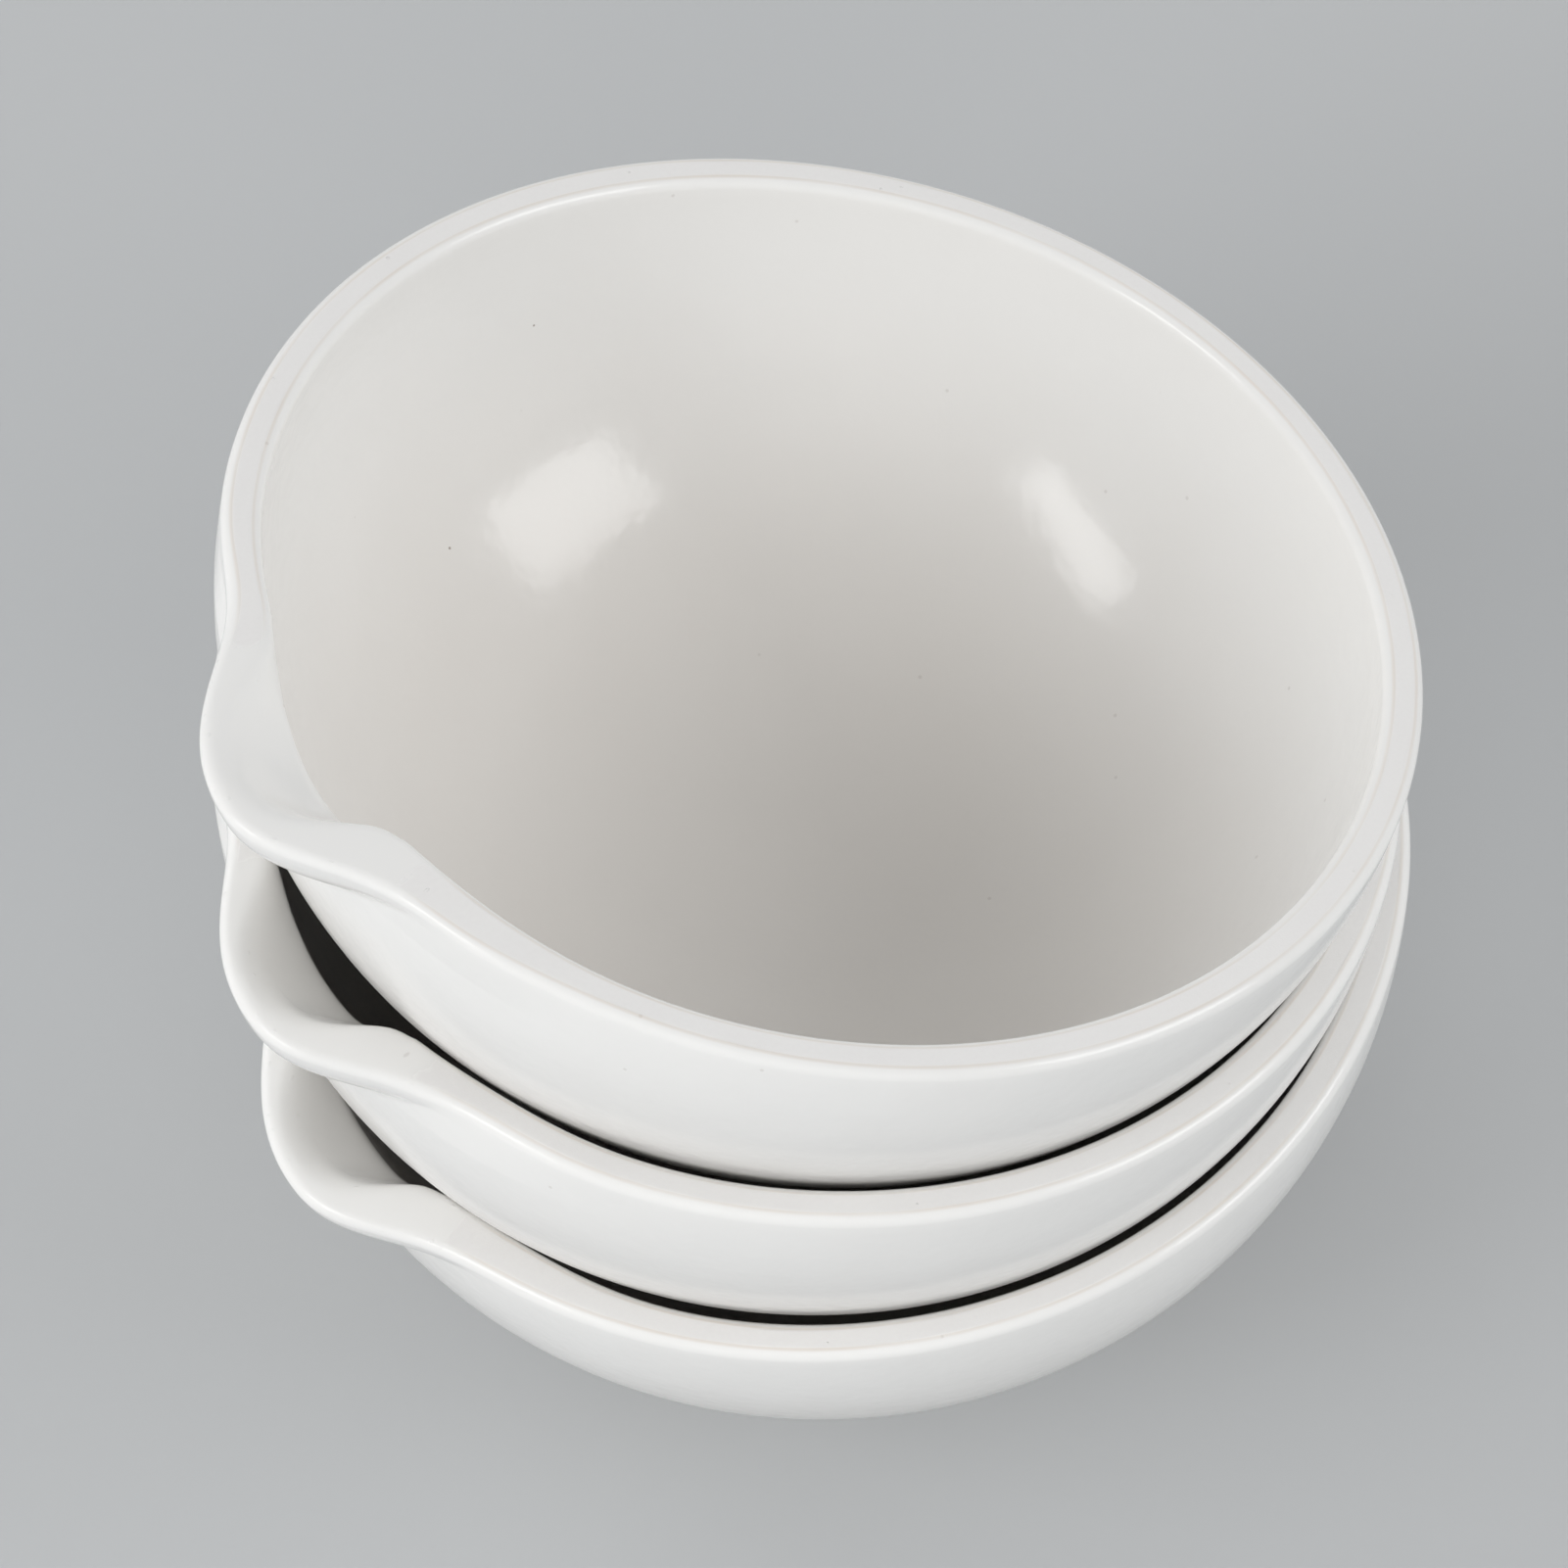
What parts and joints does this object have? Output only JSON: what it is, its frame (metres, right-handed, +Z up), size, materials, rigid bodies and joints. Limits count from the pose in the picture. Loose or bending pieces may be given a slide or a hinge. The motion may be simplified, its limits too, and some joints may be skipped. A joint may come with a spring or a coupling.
{
  "type": "evaporating dish stack",
  "caption": "Nested round-bottomed porcelain evaporating dishes, each a deep glazed bowl with a flat unglazed rim and a pulled pouring lip, leaning in one another.",
  "frame": {"origin": "middle of the bottom dish's flat foot, on the surface it stands on", "axes": "+Z up the bottom dish's axis; -X towards the pouring lips; +Y completes a right-handed frame"},
  "size_m": [0.0958, 0.09, 0.085],
  "materials": {
    "porcelain": "off-white hard porcelain, clear glossy glaze inside and outside, dry matte ground rim with fine sparkle"
  },
  "bodies": {
    "bottom": {"bottom_dish": "porcelain"},
    "middle": {"middle_dish": "porcelain"},
    "top": {"top_dish": "porcelain"}
  },
  "joints": [
    {"name": "middle_lift", "type": "slide", "parent": "bottom", "child": "middle", "axis": [0, 0, 1], "range_m": [0, 0.04]},
    {"name": "top_lift", "type": "slide", "parent": "middle", "child": "top", "axis": [0, 0, 1], "range_m": [0, 0.04]}
  ]
}
